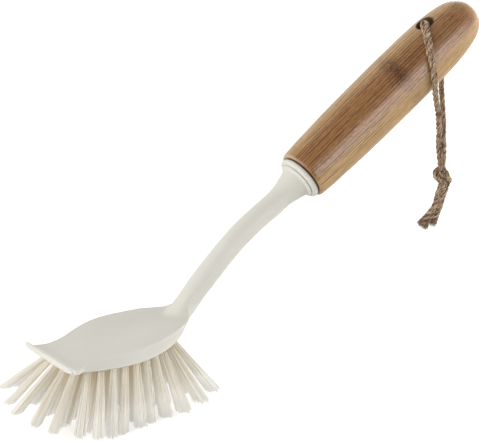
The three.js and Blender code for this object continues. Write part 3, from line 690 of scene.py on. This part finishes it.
# Tuft strips: a short length of flat brass wire across the bottom of each hole, which pins the
# folded filaments. They lie inside the head.
brass, tree, surface = finish("brass_strip")
place = put(tree, "ShaderNodeTexCoord").outputs["Object"]
metal = ramp(tree, noise(tree, place, 1500.0, 3.0), (0.0, (0.46, 0.33, 0.13, 1)), (1.0, (0.66, 0.5, 0.22, 1)))
feed(tree, surface, {"Base Color": metal, "Metallic": 1.0, "Roughness": 0.35})
for name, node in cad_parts.items():
    if name.startswith("tuft_anchor"):
        coat(node, brass)

# Handle: a turned bamboo barrel with a domed end, clear lacquered. Its fibres run lengthwise, a
# growth node crosses it above the middle, and a hole for the cord goes through near the end.
handle_length, barrel, mouth = 114.0, 13.6, 11.9
socket_depth, socket_radius = 30.5, 4.85
hole_at, hole_radius = 88.7, 3.9
barrel_shares = [(0.012, 0), (0.07, 0.3), (0.13, 0.45), (0.2, 0.66), (0.3, 0.84), (0.42, 0.95),
                 (0.53, 1), (0.63, 0.97), (0.72, 0.86)]
dome_shares = [(0.79, 0.955), (0.825, 0.928), (0.86, 0.888), (0.895, 0.832), (0.925, 0.758),
               (0.95, 0.655), (0.97, 0.53), (0.985, 0.38), (0.996, 0.19), (1, 0)]
barrel_points = [(mouth + w * (barrel - mouth), u * handle_length, 0.0) for u, w in barrel_shares]
barrel_points += [(w * barrel, u * handle_length, 0.0) for u, w in dome_shares]
handle_profile = [(0.0, socket_depth), (socket_radius, socket_depth), (socket_radius, 0.25), (5.1, 0.0),
                  (10.95, 0.0), (11.35, 0.12), (11.65, 0.42)]
handle_profile += [(r, h) for r, h, _ in spline(barrel_points, 6)]
bamboo_handle = turned_piece("bamboo_handle", handle_profile, collar_centre, handle_along, handle_over, 128)
hole_centre = collar_centre + hole_at * handle_along
hole_profile = [(0.0, 18.0), (4.7, 18.0), (4.6, 13.3), (4.25, 12.8), (4.02, 12.3), (hole_radius, 11.7)]
hole_profile += [(r, -h) for r, h in hole_profile[::-1]]
hole_cutter = turned_piece("hole_cutter", hole_profile, hole_centre, handle_over, handle_along, 64)
settle(bamboo_handle, "BOOLEAN", operation="DIFFERENCE", object=hole_cutter, solver="EXACT")
bpy.data.objects.remove(hole_cutter)
bpy.ops.object.shade_smooth_by_angle(angle=math.radians(38))

bamboo, tree, surface = finish("lacquered_bamboo")
place = put(tree, "ShaderNodeTexCoord").outputs["Object"]
inside = put(tree, "ShaderNodeMapping", {"Vector": place, "Location": tuple(collar_centre * mm),
                                         "Rotation": (0.0, -pitch, 0.0)}, vector_type="TEXTURE").outputs[0]
parts = put(tree, "ShaderNodeSeparateXYZ", {0: inside}).outputs
from_start = parts["X"]
angle = maths(tree, "ARCTAN2", parts["Y"], parts["Z"])
across = put(tree, "ShaderNodeCombineXYZ", {"X": parts["Y"], "Y": parts["Z"]}).outputs[0]
from_axis = put(tree, "ShaderNodeVectorMath", {0: across}, operation="LENGTH").outputs["Value"]

# the grain keeps its width where the barrel swells
even = maths(tree, "DIVIDE", 0.0125, maths(tree, "MAXIMUM", from_axis, 0.0118))
even = put(tree, "ShaderNodeCombineXYZ", {"X": 1.0, "Y": even, "Z": even}).outputs[0]
grain_way = put(tree, "ShaderNodeVectorMath", {0: inside, 1: even}, operation="MULTIPLY").outputs[0]
lines = put(tree, "ShaderNodeGroup", {"Vector": grain_way, "Stretch": (45.0, 1050.0, 1050.0),
                                      "Contrast": 3.4}, node_tree=streaks).outputs
bands = put(tree, "ShaderNodeGroup", {"Vector": grain_way, "Stretch": (7.0, 210.0, 210.0),
                                      "Contrast": 1.0}, node_tree=streaks).outputs

# dark veins round the barrel, fading towards the dome, with fine lines and short dashes over them
phase = maths(tree, "MULTIPLY_ADD", angle, 62.0, maths(tree, "MULTIPLY", bands["Fine"], 9.0))
crest = ranged(tree, maths(tree, "SINE", phase), -1.0, 0.3, -1.0, 0.3, soft=True)
runs = ranged(tree, lines["Tone"], 0.2, 0.75, 0.5, 0.05)
runs = maths(tree, "MULTIPLY", runs, ranged(tree, from_start, 0.086, 0.107, 1.0, 0.3, soft=True))
tone = maths(tree, "MULTIPLY_ADD", crest, runs, 0.44)
tone = maths(tree, "MULTIPLY_ADD", lines["Tone"], 0.14, tone)
tone = maths(tree, "MULTIPLY_ADD", bands["Tone"], 0.16, tone)
short = put(tree, "ShaderNodeVectorMath", {0: grain_way, 1: (330.0, 1500.0, 1500.0)},
            operation="MULTIPLY").outputs[0]
tone = maths(tree, "MULTIPLY_ADD", noise(tree, short, 1.0, 2.0), 0.7, tone)
tone = maths(tree, "SUBTRACT", tone, 0.35)
wood = ramp(tree, tone, (0.2, (0.12, 0.045, 0.012, 1)), (0.5, (0.236, 0.097, 0.024, 1)),
            (0.82, (0.38, 0.185, 0.066, 1)))

# painted reflection and painted light: paler strips along both sides of the barrel, where the lacquer catches
# the bright room at a grazing angle and the lamp at the right, and at the dome
reflection_tone = ramp(tree, tone, (0.2, (0.27, 0.142, 0.052, 1)), (0.72, (0.56, 0.352, 0.156, 1)))
loose = maths(tree, "MULTIPLY_ADD", bands["Tone"], 0.7, angle)
painted_reflection = maths(tree, "MAXIMUM", ranged(tree, loose, -0.1, 0.6, soft=True),
                  ranged(tree, loose, -0.8, -1.3, soft=True))
painted_reflection = maths(tree, "MAXIMUM", painted_reflection, ranged(tree, from_start, 0.104, 0.1135, soft=True))
strips = mixed(tree, painted_reflection, wood, reflection_tone)

# the growth node, a speckled dark band that is strongest on the dark strip
growth_at = 0.0645
bent = maths(tree, "MULTIPLY_ADD", noise(tree, inside, 160.0, 2.0), 0.007, from_start)
near = maths(tree, "ABSOLUTE", maths(tree, "SUBTRACT", bent, growth_at))
band = ranged(tree, near, 0.0, 0.0062, 1.0, 0.0, soft=True)
specks = noise(tree, inside, 1500.0, 2.0)
from_dark = maths(tree, "ABSOLUTE", maths(tree, "ADD", angle, 0.62))
sector = ranged(tree, from_dark, 0.1, 0.8, 1.0, 0.25, soft=True)
node_mark = maths(tree, "MULTIPLY", band, ranged(tree, specks, 0.4, 0.6, 0.3, 1.0))
node_mark = maths(tree, "MULTIPLY", node_mark, sector)
marked = mixed(tree, node_mark, strips, (0.062, 0.013, 0.002, 1))

# bare wood on the chamfer at the collar, paler on its upper left side as a painted highlight, and end grain
# in the mouth and in the hole, darkened further as painted shade
bare_chamfer_and_highlight = maths(tree, "MULTIPLY", ranged(tree, from_start, 0.0004, 0.0011, 0.75, 0.0),
                ranged(tree, angle, -0.8, 0.2, 0.12, 1.0))
marked = mixed(tree, bare_chamfer_and_highlight, marked, (0.62, 0.46, 0.31, 1))
# painted shadow: the end face in the mouth is darkened as if shaded by the gap under the collar ring, over
# the end grain's own darker tone
end_grain_and_shadow = maths(tree, "MULTIPLY", ranged(tree, from_axis, 0.0105, 0.0109, 0.7, 0.0),
                  ranged(tree, from_start, 0.0002, 0.0005, 1.0, 0.0))
marked = mixed(tree, end_grain_and_shadow, marked, (0.05, 0.026, 0.014, 1))
# painted shade: the wall of the hole and a narrow ring round its rim are darkened, over the end grain's own
# tone
from_hole = maths(tree, "SUBTRACT", from_start, hole_at * mm)
flat = put(tree, "ShaderNodeCombineXYZ", {"X": from_hole, "Y": parts["Y"]}).outputs[0]
hole_reach = put(tree, "ShaderNodeVectorMath", {0: flat}, operation="LENGTH").outputs["Value"]
hole_grain_and_shade = ranged(tree, hole_reach, hole_radius * mm, 0.0048, 0.85, 0.0, soft=True)
dark = mixed(tree, hole_grain_and_shade, marked, (0.06, 0.032, 0.018, 1))

# lacquer of uneven gloss over the open grain
fine = put(tree, "ShaderNodeBump", {"Height": lines["Fine"], "Strength": 0.12, "Distance": 0.00015})
fine = put(tree, "ShaderNodeBump", {"Height": specks, "Strength": 0.14, "Distance": 0.0001,
                                    "Normal": fine.outputs["Normal"]})
lacquer = ranged(tree, noise(tree, inside, 1250.0, 2.0), 0.35, 0.65, 0.35, 0.95)
feed(tree, surface, {"Base Color": dark, "Roughness": ranged(tree, lines["Tone"], 0.0, 1.0, 0.5, 0.38),
                     "Normal": fine.outputs["Normal"], "Specular IOR Level": 0.12,
                     "Coat Weight": lacquer, "Coat Roughness": 0.37})
coat(bamboo_handle, bamboo)
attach(bamboo_handle, "brush")
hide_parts("handle")

# Floor and light: a plain white table in a soft white room, with a broad lamp at the upper left and
# another at the right. Two panels show only as reflections: one along the handle and one behind it.
bpy.ops.object.select_all(action="DESELECT")
bpy.ops.mesh.primitive_plane_add(size=8.0, location=(0.0, 0.0, -0.0004))
table = bpy.context.object
table.name = "table"
white, tree, surface = finish("white_table")
path = put(tree, "ShaderNodeLightPath").outputs
feed(tree, surface, {"Base Color": (0.83, 0.83, 0.82, 1), "Roughness": 0.8, "Emission Color": (1, 1, 1, 1),
                     "Emission Strength": maths(tree, "MULTIPLY", path["Is Camera Ray"], 0.45)})
coat(table, white)
table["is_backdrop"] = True

world = bpy.data.worlds.new("soft_room")
scene.world = world
world.use_nodes = True
tree = world.node_tree
path = put(tree, "ShaderNodeLightPath").outputs
looking = put(tree, "ShaderNodeTexCoord").outputs["Generated"]
dark_side = Vector(outward) + 0.35 * Vector(picture_right)
facing = put(tree, "ShaderNodeVectorMath", {0: looking, 1: tuple(dark_side.normalized())},
             operation="DOT_PRODUCT").outputs["Value"]
height = put(tree, "ShaderNodeSeparateXYZ", {0: looking}).outputs["Z"]
lit = maths(tree, "MULTIPLY", ranged(tree, height, 1.0, 0.2, 0.62, 0.98),
            ranged(tree, facing, 0.97, 0.2, 0.3, 1.0, soft=True))
mirrored = ranged(tree, facing, 0.97, 0.4, 0.03, 1.0, soft=True)
room = put(tree, "ShaderNodeMix", {"Factor": path["Is Glossy Ray"], 2: lit, 3: mirrored}).outputs[0]
seen = maths(tree, "MAXIMUM", path["Is Camera Ray"], path["Is Transmission Ray"])
strength = put(tree, "ShaderNodeMix", {"Factor": seen, 2: room, 3: 1.0}).outputs[0]
feed(tree, tree.nodes["Background"], {"Color": (1.0, 1.0, 1.0, 1), "Strength": strength})


def lamp(name, place, target, size, power):
    """A soft rectangular lamp facing a point."""
    bpy.ops.object.light_add(type="AREA", location=place)
    made = bpy.context.object
    made.name = name
    made.rotation_euler = (Vector(target) - Vector(place)).to_track_quat("-Z", "Y").to_euler()
    made.data.shape = "RECTANGLE"
    made.data.size, made.data.size_y = size
    made.data.energy = power
    return made


middle, on_handle = (0.0, 0.0, 0.06), (0.07, 0.0, 0.115)
lamp("upper_left_lamp", (-1.2, -0.25, 0.5), middle, (0.8, 0.8), 8.2)
right = lamp("right_lamp", (1.3, -0.5, 0.1), middle, (0.7, 0.7), 19.5)
right.visible_glossy = False
glint = lamp("handle_glint", (0.42, -1.15, 0.33), on_handle, (1.2, 0.7), 18.0)
glint.visible_diffuse = False
glint.data.color = (0.92, 0.97, 1.0)
rear = lamp("rear_glint", (1.1, 0.6, 0.12), on_handle, (0.9, 0.9), 12.0)
rear.visible_diffuse = False

low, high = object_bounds()
